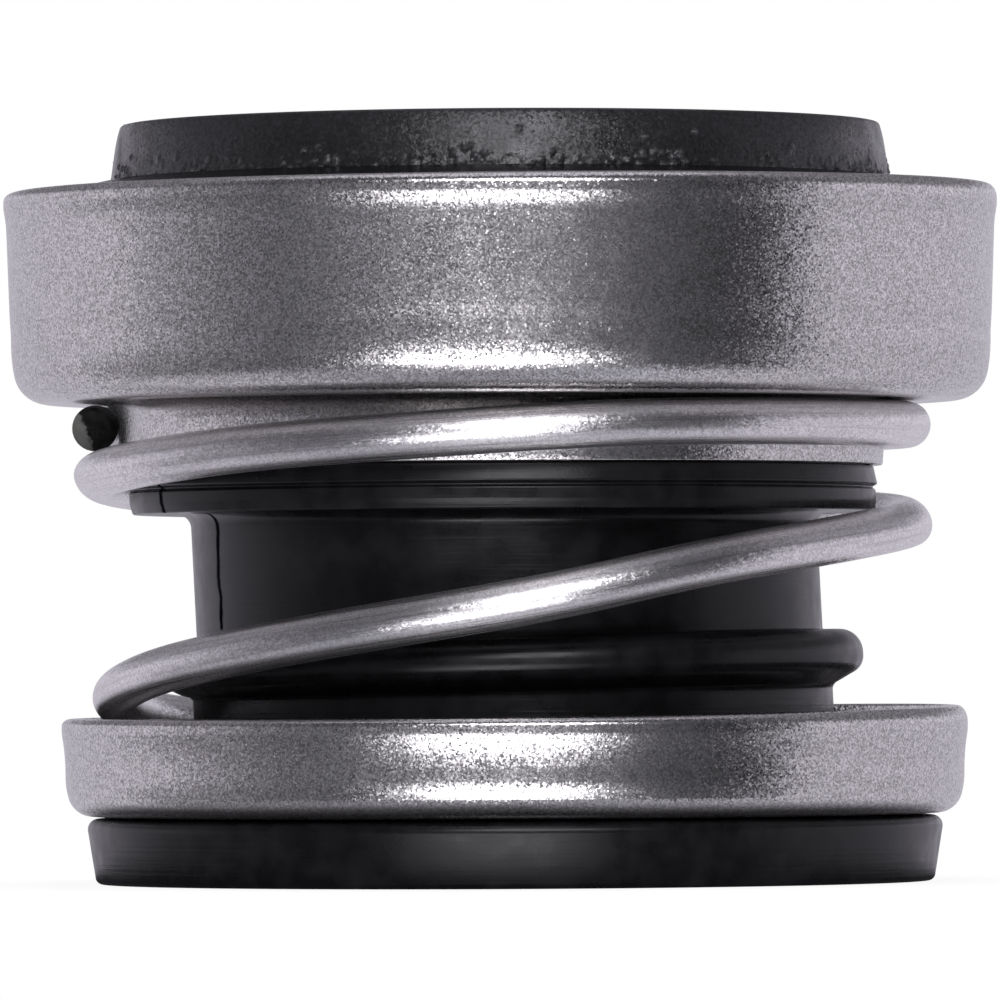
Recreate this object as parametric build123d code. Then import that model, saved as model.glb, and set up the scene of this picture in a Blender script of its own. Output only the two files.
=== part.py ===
from build123d import *

import os
from math import cos, pi, radians, sin, tan

# Rotating head of a rubber-bellows shaft seal, in millimetres. It stands on its tail, axis on Z, and the
# sealing face is on top. Sizes are those at free length, with the spring relaxed.

# Shaft and clearances
shaft_radius = 5.0
sleeve_grip = 0.10          # the sleeve's bore is this much under the shaft, all round
fit = 0.02                  # between the rubber and what it seats in, and round the spring's turns

# Spring
wire_diameter = 1.04
spring_space = 8.98         # from the floor of the dish to the underside of the head cup
bead_clearance = 0.53       # from the bellows' bead out to the lower turns
turns = 3.0
snug_turns = 0.9            # these grip the collar
taper_turns = 0.6           # over these the coil comes down to the lower turns' size
top_closed_turns = 0.70
bottom_closed_turns = 0.58
steps_per_turn = 14
# How the wire drops between the closed turns: (share of the open turns, share of the drop)
open_turn_stations = [
    (0.0, 0.0),
    (0.116, 0.106),
    (0.174, 0.143),
    (0.465, 0.243),
    (0.535, 0.318),
    (0.614, 0.49),
    (0.701, 0.697),
    (0.756, 0.778),
    (0.814, 0.853),
    (1.0, 1.0),
]

# Head cup, drawn from sheet
head_sheet = 0.40
head_cup_height = 4.85
head_rim_radius = 11.25
head_wall_draft = 2.6       # degrees that the wall leans out towards the rim
head_corner = 0.79
head_bevel = 0.07           # on the rim's outer edge, inwards
head_bevel_height = 0.30
collar_growth = 0.15        # the collar is this much larger than the inside of the lower turns
collar_length = 1.465
collar_bend = 0.20

# Dish under the spring, drawn from sheet
dish_sheet = 0.40
dish_height = 2.35
dish_wall_draft = 9.8
dish_corner = 0.50
dish_bevel = 0.08
dish_bevel_height = 0.32

# Face ring
ring_height = 5.02
ring_radius = 8.79
ring_shaft_gap = 0.75
ring_straight = 3.70        # the outside tapers above this
ring_face_radius = 8.45
ring_chamfer = 0.25
ring_edge = 0.10            # broken edges of the lapped face

# Bellows, tail end
foot_height = 1.47
foot_radius = 9.70
foot_draft = 9.0
foot_edge_drop = 0.18       # the foot falls away outside the dish's floor
foot_seat_radius = 8.77
foot_rounding = 0.16
sleeve_wall = 2.34
sleeve_length = 5.20
sleeve_chamfer = 0.45
bead_standout = 0.73        # from the sleeve
bead_bottom = 4.45
bead_height = 1.25
bead_flank = 0.35           # rise of its lower side
bead_rounding = 0.40
bead_fillet = 0.20

# Bellows, neck and head end
neck_step = 0.16            # the neck is this much thinner than the sleeve
neck_wall = 0.88
neck_fillet = 0.28
shoulder_step = 0.21        # the shoulder is this much smaller than the collar
shoulder_length = 1.045     # below the collar
shoulder_rounding = 0.15
groove_height = 0.48        # above the shoulder's underside
groove_width = 0.14
groove_depth = 0.12
ring_seat = 0.95            # rubber between the cup's floor and the ring
lip_height = 0.15           # above the cup's rim, at the ring
lip_fall = 0.22

# Radii that follow, from the shaft outwards
bore_radius = shaft_radius - sleeve_grip
sleeve_radius = bore_radius + sleeve_wall
bead_radius = sleeve_radius + bead_standout
neck_radius = sleeve_radius - neck_step
lower_turn_inside = bead_radius + bead_clearance
lower_turn_radius = lower_turn_inside + wire_diameter / 2
collar_radius = lower_turn_inside + collar_growth
top_turn_radius = collar_radius + fit + wire_diameter / 2
shoulder_radius = collar_radius - shoulder_step
ring_bore_radius = shaft_radius + ring_shaft_gap
turn_length = 2 * pi * lower_turn_radius

# Heights that follow from the stack
dish_floor = foot_height + dish_sheet
dish_rim = foot_height + dish_height
head_underside = dish_floor + spring_space
head_floor = head_underside + head_sheet
head_rim = head_underside + head_cup_height
collar_end = head_underside - collar_length
ring_base = head_floor + ring_seat
ring_top = ring_base + ring_height
shoulder_underside = collar_end - shoulder_length


def turned(corners):
    """Solid of revolution about Z whose section has the given (radius, height, rounding) corners."""
    points = [(radius, height) for radius, height, rounding in corners]
    roundings = [rounding for radius, height, rounding in corners]
    with BuildPart() as part:
        with BuildSketch(Plane.XZ):
            with BuildLine():
                FilletPolyline(*points, radius=roundings, close=True)
            make_face()
        revolve(axis=Axis.Z)
    return part.part


def head_wall(height):
    """Outer radius of the head cup's leaning wall at a height."""
    return head_rim_radius - (head_rim - height) * tan(radians(head_wall_draft))


def dish_wall(height):
    """Outer radius of the dish's leaning wall at a height: at its floor it clears the spring."""
    inside_at_floor = lower_turn_radius + wire_diameter / 2 + fit
    return inside_at_floor + dish_sheet + (height - dish_floor) * tan(radians(dish_wall_draft))


def face_ring():
    """Carbon ring: straight in its pocket, tapered above it, with a lapped top."""
    return turned(
        [
            (ring_bore_radius, ring_base + ring_chamfer, 0),
            (ring_bore_radius + ring_chamfer, ring_base, 0),
            (ring_radius - ring_chamfer, ring_base, 0),
            (ring_radius, ring_base + ring_chamfer, 0),
            (ring_radius, ring_base + ring_straight, 0),
            (ring_face_radius, ring_top - ring_edge, 0),
            (ring_face_radius - ring_edge, ring_top, 0),
            (ring_bore_radius + ring_edge, ring_top, 0),
            (ring_bore_radius, ring_top - ring_edge, 0),
        ]
    )


def head_cup():
    """Drawn cup with a collar turned down from the hole in its floor."""
    bevel_foot = head_rim - head_bevel_height
    return turned(
        [
            (head_rim_radius - head_bevel, head_rim, 0),
            (head_wall(bevel_foot), bevel_foot, 0),
            (head_wall(head_underside), head_underside, head_corner),
            (collar_radius, head_underside, collar_bend),
            (collar_radius, collar_end, 0),
            (collar_radius - head_sheet, collar_end, 0),
            (collar_radius - head_sheet, head_floor, collar_bend + head_sheet),
            (head_wall(head_floor) - head_sheet, head_floor, head_corner - head_sheet),
            (head_rim_radius - head_sheet, head_rim, 0),
        ]
    )


def tail_cup():
    """Flared dish that carries the spring on the foot."""
    hole_radius = sleeve_radius + fit
    bevel_foot = dish_rim - dish_bevel_height
    return turned(
        [
            (dish_wall(dish_rim) - dish_bevel, dish_rim, 0),
            (dish_wall(bevel_foot), bevel_foot, 0),
            (dish_wall(foot_height), foot_height, dish_corner),
            (hole_radius, foot_height, 0),
            (hole_radius, dish_floor, 0),
            (dish_wall(dish_floor) - dish_sheet, dish_floor, dish_corner - dish_sheet),
            (dish_wall(dish_rim) - dish_sheet, dish_rim, 0),
        ]
    )


def bellows():
    """One moulding: foot, sleeve, bead, neck, stem through the collar, and the pocket round the ring."""
    foot_edge_height = foot_height - foot_edge_drop
    foot_bottom = foot_radius - foot_edge_height * tan(radians(foot_draft))
    bead_top = bead_bottom + bead_height
    groove_bottom = shoulder_underside + groove_height
    stem_radius = collar_radius - head_sheet - fit
    pocket_floor = head_floor + fit
    lip_edge = head_rim - lip_fall
    neck_bore = neck_radius - neck_wall
    return turned(
        [
            (foot_bottom, 0, foot_rounding),
            (foot_radius, foot_edge_height, 0),
            (foot_seat_radius, foot_height, 0),
            (sleeve_radius, foot_height, 0),
            (sleeve_radius, bead_bottom, bead_fillet),
            (bead_radius, bead_bottom + bead_flank, bead_rounding),
            (bead_radius, bead_top, bead_rounding),
            (neck_radius, bead_top, 0),
            (neck_radius, shoulder_underside, neck_fillet),
            (shoulder_radius, shoulder_underside, shoulder_rounding),
            (shoulder_radius, groove_bottom, 0),
            (shoulder_radius - groove_depth, groove_bottom + groove_width / 2, 0),
            (shoulder_radius, groove_bottom + groove_width, 0),
            (shoulder_radius, collar_end - fit, 0),
            (stem_radius, collar_end - fit, 0),
            (stem_radius, pocket_floor, collar_bend + head_sheet + fit),
            (head_wall(pocket_floor) - head_sheet - fit, pocket_floor, head_corner - head_sheet),
            (head_wall(lip_edge) - head_sheet - fit, lip_edge, 0),
            (ring_radius + fit, head_rim + lip_height, 0),
            (ring_radius + fit, ring_base - fit, 0),
            (neck_bore, ring_base - fit, 0),
            (neck_bore, sleeve_length + neck_bore - bore_radius, 0),
            (bore_radius, sleeve_length, 0),
            (bore_radius, sleeve_chamfer, 0),
            (bore_radius + sleeve_chamfer, 0, 0),
        ]
    )


def coil_radius(turn):
    """Radius of the wire's middle after so many turns from the top."""
    share = min(max((turn - snug_turns) / taper_turns, 0), 1)
    return top_turn_radius + (lower_turn_radius - top_turn_radius) * share


def unrolled_coil():
    """Middle of the wire laid out flat: along the coil on X, height on Y."""
    top = head_underside - fit - wire_diameter / 2
    bottom = dish_floor + fit + wire_diameter / 2
    closed_length = top_closed_turns * turn_length
    open_length = (turns - top_closed_turns - bottom_closed_turns) * turn_length
    stations = [
        (closed_length + along * open_length, top - drop * (top - bottom))
        for along, drop in open_turn_stations
    ]
    return Wire(
        [
            Line((0, top), stations[0]),
            Spline(*stations, tangents=[(1, 0), (1, 0)]),
            Line(stations[-1], (turns * turn_length, bottom)),
        ]
    )


def coil_path():
    """Middle of the wire, wound clockwise on the way down, in short runs joined by arcs."""
    unrolled = unrolled_coil()
    steps = round(turns * steps_per_turn)
    corner_outset = 1 / cos(pi / steps_per_turn)
    places = [0] + [(step + 0.5) / steps for step in range(steps)] + [1]
    points = []
    for share in places:
        place = unrolled @ share
        turn = place.X / turn_length
        outset = corner_outset if 0 < share < 1 else 1
        radius = coil_radius(turn) * outset
        angle = pi - 2 * pi * turn
        points.append(Vector(radius * cos(angle), radius * sin(angle), place.Y))
    roundings = []
    for before, corner, after in zip(points, points[1:], points[2:]):
        bend = radians((corner - before).get_angle(after - corner))
        longer_run = max((corner - before).length, (after - corner).length)
        roundings.append(0.45 * longer_run / tan(bend / 2))
    return FilletPolyline(*points, radius=roundings)


def spring():
    """Round-wire coil with closed ends, cut square."""
    path = coil_path()
    start = Plane(origin=path @ 0, z_dir=path % 0)
    return sweep(start * Circle(wire_diameter / 2), path=path)


os.makedirs("parts", exist_ok=True)
nodes = {
    "face_ring": face_ring,
    "head_cup": head_cup,
    "bellows": bellows,
    "spring": spring,
    "tail_cup": tail_cup,
}
for name, make in nodes.items():
    solid = make()
    export_step(solid, f"parts/{name}.step")
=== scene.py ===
"""Finishes, lights and camera for the rotating head of a rubber-bellows shaft seal.

They go round its fixed CAD model. Sizes are in millimetres and are turned to metres where a mesh is made.
Heights and the main radii come from the CAD model's own boxes.
"""

import logging
from dataclasses import dataclass
from enum import Enum
from math import acos, cos, degrees, hypot, pi, radians, sin, tan

import bmesh
import bpy
from bpy.types import ID, Material, MeshVertex, NodeSocket, NodeTree, Object
from mathutils import Matrix, Vector, noise


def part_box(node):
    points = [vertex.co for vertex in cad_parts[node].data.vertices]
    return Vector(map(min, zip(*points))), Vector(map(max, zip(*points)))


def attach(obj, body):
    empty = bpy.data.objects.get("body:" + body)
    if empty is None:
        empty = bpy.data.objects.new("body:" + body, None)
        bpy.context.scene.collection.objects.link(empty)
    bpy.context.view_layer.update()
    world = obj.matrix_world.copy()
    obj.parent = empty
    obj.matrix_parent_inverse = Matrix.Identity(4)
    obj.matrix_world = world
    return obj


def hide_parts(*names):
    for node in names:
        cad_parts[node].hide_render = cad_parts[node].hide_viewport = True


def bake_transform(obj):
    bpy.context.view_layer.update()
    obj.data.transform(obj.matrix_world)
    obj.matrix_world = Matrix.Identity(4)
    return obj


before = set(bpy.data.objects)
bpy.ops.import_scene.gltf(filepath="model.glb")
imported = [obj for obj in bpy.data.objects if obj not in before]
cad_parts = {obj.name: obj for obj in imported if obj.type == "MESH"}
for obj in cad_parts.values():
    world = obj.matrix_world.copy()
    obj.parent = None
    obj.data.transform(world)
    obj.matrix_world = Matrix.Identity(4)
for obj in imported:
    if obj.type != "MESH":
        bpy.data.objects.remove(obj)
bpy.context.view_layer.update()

log = logging.getLogger("seal")

MM = 0.001
TAIL_BODY = "tail"
HEAD_BODY = "head"
# Most of a noise lies between these levels
MOST_NOISE = {"From Min": 0.3, "From Max": 0.7}
# Degrees between the points of an arc, and the bend from which an edge is sharp
ARC_STEP = 9
SHARP_BEND = 32


class Slot(Enum):
    """Material slots of the record."""

    CARBON = "carbon"
    DRAWN_STAINLESS = "drawn_stainless"
    MOULDED_RUBBER = "moulded_rubber"
    SPRING_WIRE = "spring_wire"


# Shader and mesh helpers


def linear(hex_colour: str) -> tuple[float, float, float, float]:
    """Turn an sRGB hex colour to linear RGBA.

    Args:
        hex_colour: six hex digits, without a hash sign.

    Returns:
        The colour as Blender's sockets take it.
    """
    channels = []
    for start in (0, 2, 4):
        value = int(hex_colour[start:start + 2], 16) / 255
        channels.append(value / 12.92 if value <= 0.04045 else ((value + 0.055) / 1.055) ** 2.4)
    return (channels[0], channels[1], channels[2], 1.0)


def add(
    tree: NodeTree, kind: str, inputs: dict | None = None, out: str = "", stops: tuple = (), **settings
) -> NodeSocket | None:
    """Add a node with its settings and links.

    Args:
        tree: the tree that takes the node.
        kind: the node's type: a shader node's without its "ShaderNode", others in full.
        inputs: by name or number, what each input holds: an output to link, or a value.
        out: the output that is wanted, where it isn't the first one in use.
        stops: a colour ramp's (position, grey level or hex colour), in order. It eases between them.
        settings: the node's own properties.

    Returns:
        The output, if the node has any.
    """
    made = tree.nodes.new(kind if "Node" in kind else f"ShaderNode{kind}")
    for name, value in settings.items():
        setattr(made, name, value)
    for name, value in (inputs or {}).items():
        if isinstance(value, NodeSocket):
            tree.links.new(value, made.inputs[name])
        else:
            made.inputs[name].default_value = value
    if stops:
        made.color_ramp.interpolation = "EASE"
        elements = made.color_ramp.elements
        while len(elements) < len(stops):
            elements.new(0.5)
        for element, (position, level) in zip(elements, stops):
            element.position = position
            element.color = linear(level) if isinstance(level, str) else (level, level, level, 1.0)
    return made.outputs[out] if out else next((output for output in made.outputs if output.enabled), None)


def scaled_place(tree: NodeTree, *sizes_mm: float, place: NodeSocket | None = None) -> NodeSocket:
    """Give the place on the piece in repeats of a pattern.

    Args:
        tree: the material's tree.
        sizes_mm: every how many millimetres the pattern repeats: one size, or three for X, Y and Z.
        place: the place in metres, where it isn't the Object coordinates.

    Returns:
        The scaled place.
    """
    per_metre = [1 / (size * MM) for size in sizes_mm] * (3 // len(sizes_mm))
    place = place or add(tree, "TexCoord", out="Object")
    return add(tree, "Mapping", {"Vector": place, "Scale": per_metre})


def grained(tree: NodeTree, size_mm: float, tilt: float, under: NodeSocket) -> tuple[NodeSocket, NodeSocket]:
    """Divide a surface into grains that each tilt their own way, as a crowd of small facets.

    Args:
        tree: the material's tree.
        size_mm: size of a grain.
        tilt: how far most grains tilt, from one extreme to the other, in radians.
        under: the normal that the grains lie on.

    Returns:
        The grains' colours, which are random, and the normal.
    """
    cells = add(tree, "TexVoronoi", {"Vector": scaled_place(tree, size_mm), "Scale": 1.0}, "Color")
    centred = add(tree, "VectorMath", {0: cells, 1: (0.5, 0.5, 0.5)}, operation="SUBTRACT")
    chance = add(tree, "SeparateColor", {"Color": cells}, "Blue")
    # Each grain's own chance makes its tilt from 0.45 to 1.55 of the usual one
    reach = add(tree, "Math", {0: chance, 1: 1.1 * tilt, 2: 0.45 * tilt}, operation="MULTIPLY_ADD")
    scaled = add(tree, "VectorMath", {0: centred, "Scale": reach}, operation="SCALE")
    summed = add(tree, "VectorMath", {0: under, 1: scaled})
    return cells, add(tree, "VectorMath", {0: summed}, operation="NORMALIZE")


def put_in_scene(name: str, data: ID) -> Object:
    """Add an object to the scene.

    Args:
        name: its name.
        data: the mesh, lamp or camera that it holds.

    Returns:
        The object.
    """
    made = bpy.data.objects.new(name, data)
    bpy.context.scene.collection.objects.link(made)
    return made


@dataclass(frozen=True)
class Corner:
    """Corner of a turned section, in millimetres: its radius and height, and how far it is rounded."""

    radius: float
    height: float
    rounding: float = 0.0


def rounded_corner(before: Corner, corner: Corner, after: Corner) -> list[tuple[float, float]]:
    """Replace a corner by the points of its arc.

    Args:
        before: the corner before it.
        corner: the corner to round.
        after: the corner after it.

    Returns:
        (radius, height) points, or the corner itself where it is left sharp.
    """
    here = Vector((corner.radius, corner.height))
    back = (Vector((before.radius, before.height)) - here).normalized()
    ahead = (Vector((after.radius, after.height)) - here).normalized()
    opening = acos(max(-1.0, min(1.0, back.dot(ahead))))
    if corner.rounding == 0 or pi - opening < radians(1):
        return [tuple(here)]
    reach = corner.rounding / tan(opening / 2)
    centre = here + (back + ahead).normalized() * (corner.rounding / sin(opening / 2))
    start = here + back * reach - centre
    turn = (pi - opening) * (1 if back.cross(ahead) < 0 else -1)
    steps = max(2, round(degrees(pi - opening) / ARC_STEP))
    return [tuple(centre + Matrix.Rotation(turn * step / steps, 2) @ start) for step in range(steps + 1)]


def section(corners: list[Corner], longest_run: float) -> list[tuple[float, float]]:
    """Walk round a closed section, with arcs at its corners and short straight runs.

    Args:
        corners: the section's corners, in order.
        longest_run: how long a straight run may be before it is divided.

    Returns:
        (radius, height) points.
    """
    count = len(corners)
    rounded = []
    for index, corner in enumerate(corners):
        rounded += rounded_corner(corners[index - 1], corner, corners[(index + 1) % count])
    points = []
    for here, ahead in zip(rounded, rounded[1:] + rounded[:1]):
        pieces = max(1, round(hypot(ahead[0] - here[0], ahead[1] - here[1]) / longest_run))
        for piece in range(pieces):
            share = piece / pieces
            points.append((here[0] + (ahead[0] - here[0]) * share, here[1] + (ahead[1] - here[1]) * share))
    return points


def turned(name: str, points: list[tuple[float, float]], around: int) -> Object:
    """Turn a closed section about Z into a closed mesh.

    Args:
        name: the piece's name.
        points: (radius, height) points of the section, in millimetres.
        around: how many steps the turn takes.

    Returns:
        The piece, smooth apart from its sharp edges.
    """
    mesh = bpy.data.meshes.new(name)
    count = len(points)
    vertices = []
    faces = []
    for step in range(around):
        angle = 2 * pi * step / around
        vertices += [(r * cos(angle) * MM, r * sin(angle) * MM, z * MM) for r, z in points]
        here = step * count
        beside = (step + 1) % around * count
        for index in range(count):
            following = (index + 1) % count
            faces.append((here + index, beside + index, beside + following, here + following))
    mesh.from_pydata(vertices, [], faces)
    piece = put_in_scene(name, mesh)
    finish_mesh(piece)
    return piece


def finish_mesh(piece: Object) -> None:
    """Turn a closed mesh's faces outwards and smooth it, apart from its sharp edges.

    Args:
        piece: the piece whose mesh is finished.
    """
    shape = bmesh.new()
    shape.from_mesh(piece.data)
    bmesh.ops.recalc_face_normals(shape, faces=shape.faces)
    for face in shape.faces:
        face.smooth = True
    shape.to_mesh(piece.data)
    shape.free()
    piece.data.set_sharp_from_angle(angle=radians(SHARP_BEND))


# Finishes


class Finish:
    """A finish: one Principled shader, whose inputs each kind of finish works out for itself."""

    name = ""

    def skin(self, tree: NodeTree) -> dict:
        """Work out the shader's inputs.

        Args:
            tree: the material's tree.

        Returns:
            By input, a pattern's output or a uniform value.
        """
        raise NotImplementedError

    def seen(self, tree: NodeTree, shader: NodeSocket) -> NodeSocket:
        """What the surface shows: the shader itself, unless a finish mixes it with something."""
        return shader

    def material(self) -> Material:
        """Make the material.

        Returns:
            The material, named for the finish.
        """
        material = bpy.data.materials.new(self.name)
        material.use_nodes = True
        tree = material.node_tree
        tree.nodes.clear()
        shader = add(tree, "BsdfPrincipled", self.skin(tree))
        add(tree, "OutputMaterial", {"Surface": self.seen(tree, shader)})
        return material


@dataclass(frozen=True)
class DrawnStainless(Finish):
    """Stainless sheet, deep drawn: satin, with the orange-peel grain that stretching gives it.

    It sparkles finely where a light's edge falls on it, and is plain elsewhere. The real grain and the die's
    lines are finer than a render shows, so both are drawn several times as coarse.
    """

    colour: str = "a09e9d"
    light_grain: str = "edebea"
    edge_colour: str = "f4f4f4"
    roughness: tuple[float, float] = (0.195, 0.235)
    roughness_spread: float = 0.12
    grain: float = 0.038
    grain_tilt: float = 0.13
    line_depth: float = 0.0005
    line_length: float = 4.0
    draw_line: float = 0.05
    swirl: float = 0.9

    name = "drawn stainless sheet"

    def skin(self, tree: NodeTree) -> dict:
        """Lay swirls, the die's lines and grains on the sheet.

        Args:
            tree: the material's tree.

        Returns:
            The shader's inputs.
        """
        swirls = add(tree, "TexNoise", {
            "Vector": scaled_place(tree, self.swirl), "Scale": 1.0, "Detail": 3.0, "Roughness": 0.6,
        })
        lines = add(tree, "TexNoise", {
            "Vector": scaled_place(tree, self.line_length, self.line_length, self.draw_line), "Scale": 1.0,
            "Detail": 2.0,
        })
        lined = add(tree, "Bump", {"Height": lines, "Distance": self.line_depth * MM})
        cells, normal = grained(tree, self.grain, self.grain_tilt, lined)
        chances = add(tree, "SeparateColor", {"Color": cells}).node.outputs
        colour = add(tree, "Mix", {
            0: chances["Green"], 6: linear(self.colour), 7: linear(self.light_grain),
        }, data_type="RGBA")
        broad = add(tree, "MapRange", {
            "Value": swirls, **MOST_NOISE, "To Min": self.roughness[0], "To Max": self.roughness[1],
        })
        fine = add(tree, "Math", {
            0: chances["Red"], 1: self.roughness_spread, 2: broad,
        }, operation="MULTIPLY_ADD")
        rough = add(tree, "Math", {0: fine, 1: self.roughness_spread / 2}, operation="SUBTRACT")
        return {
            "Base Color": colour, "Metallic": 1.0, "Roughness": rough,
            "Specular Tint": linear(self.edge_colour), "Normal": normal,
        }


@dataclass(frozen=True)
class DrawnWire(Finish):
    """Stainless spring wire, pulled through a die: satin, with fine lines along its length.

    Its highlights spread across the wire, broken by the lines and by the grain. Both are finer in reality,
    and are drawn as coarse as they need to show.
    """

    colour: str = "fefcfc"
    groove_colour: str = "e0dede"
    dark_grain: str = "cecccc"
    edge_colour: str = "f4f4f4"
    roughness: tuple[float, float] = (0.24, 0.34)
    stretch: float = 0.75
    die_line: float = 0.05
    die_line_length: float = 4.0
    line_depth: float = 0.0014
    grain: float = 0.038
    grain_tilt: float = 0.11

    name = "drawn spring wire"

    def skin(self, tree: NodeTree) -> dict:
        """Lay the die's lines along the wire, and grains over them.

        Args:
            tree: the material's tree.

        Returns:
            The shader's inputs.
        """
        across, along, axis = (
            add(tree, "Attribute", out=out, attribute_name=name)
            for name, out in (("across", "Vector"), ("along", "Fac"), ("axis", "Vector"))
        )
        sides = add(tree, "SeparateXYZ", {"Vector": across}).node.outputs
        place = add(tree, "CombineXYZ", {"X": sides["X"], "Y": sides["Y"], "Z": along})
        spread = scaled_place(tree, self.die_line, self.die_line, self.die_line_length, place=place)
        lines = add(tree, "TexNoise", {"Vector": spread, "Scale": 1.0, "Detail": 3.0})
        rough = add(tree, "MapRange", {
            "Value": lines, **MOST_NOISE, "To Min": self.roughness[0], "To Max": self.roughness[1],
        })
        lined = add(tree, "Bump", {"Height": lines, "Distance": self.line_depth * MM})
        cells, normal = grained(tree, self.grain, self.grain_tilt, lined)
        lined_colour = add(tree, "ValToRGB", {"Fac": lines}, stops=(
            (0.36, self.groove_colour), (0.50, self.colour),
        ))
        colour = add(tree, "Mix", {
            0: add(tree, "SeparateColor", {"Color": cells}, "Green"),
            6: linear(self.dark_grain), 7: lined_colour,
        }, data_type="RGBA")
        return {
            "Base Color": colour, "Metallic": 1.0, "Roughness": rough,
            "Specular Tint": linear(self.edge_colour), "Normal": normal, "Tangent": axis,
            "Anisotropic": self.stretch, "Anisotropic Rotation": 0.25,
        }


@dataclass(frozen=True)
class ShearedSteel(Finish):
    """The wire's cropped end: torn, with one smooth edge where the blade went in.

    Its torn grain catches little light. Its torn face is painted near-black, partly dull torn steel and
    partly painted shade; a crescent on its -X side is painted paler, partly the burnished edge and partly a
    painted highlight.
    """

    # Torn face: partly dull torn steel, partly painted shade
    colour: str = "131413"
    # Crescent: partly the burnished edge, partly a painted highlight
    burnish_and_painted_highlight_colour: str = "868982"
    crescent_from: float = -9.26
    crescent_to: float = -9.32
    crescent_slope: float = 0.4
    crescent_height: float = 10.31
    crescent_waver: float = 0.25
    specular_level: float = 0.2
    roughness: float = 0.5
    tear: float = 0.12
    tear_depth: float = 0.01

    name = "cropped wire end"

    def skin(self, tree: NodeTree) -> dict:
        """Part the dark torn face, partly painted shade, from the paler crescent, partly a painted
        highlight, along an uneven line.

        Args:
            tree: the material's tree.

        Returns:
            The shader's inputs.
        """
        place = add(tree, "TexCoord", out="Object")
        tears = add(tree, "TexNoise", {
            "Vector": scaled_place(tree, self.tear), "Scale": 1.0, "Detail": 4.0,
        })
        parts = add(tree, "SeparateXYZ", {"Vector": place}).node.outputs
        sloped = add(tree, "Math", {
            0: parts["Z"], 1: self.crescent_slope, 2: parts["X"],
        }, operation="MULTIPLY_ADD")
        across = add(tree, "Math", {
            0: sloped, 1: self.crescent_slope * self.crescent_height * MM,
        }, operation="SUBTRACT")
        wavered = add(tree, "Math", {
            0: tears, 1: self.crescent_waver * MM, 2: across,
        }, operation="MULTIPLY_ADD")
        # Crescent mask: partly the burnished edge, partly a painted highlight
        burnish_and_painted_highlight_mask = add(tree, "MapRange", {
            "Value": wavered, "From Min": self.crescent_from * MM, "From Max": self.crescent_to * MM,
        })
        # Painted shade on the torn face and painted highlight on the crescent, each partly the steel's own
        # tone
        colour = add(tree, "Mix", {
            0: burnish_and_painted_highlight_mask, 6: linear(self.colour), 7: linear(self.burnish_and_painted_highlight_colour),
        }, data_type="RGBA")
        bumped = add(tree, "Bump", {"Height": tears, "Distance": self.tear_depth * MM})
        return {
            "Base Color": colour, "Roughness": self.roughness, "Specular IOR Level": self.specular_level,
            "Normal": bumped,
        }


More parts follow.
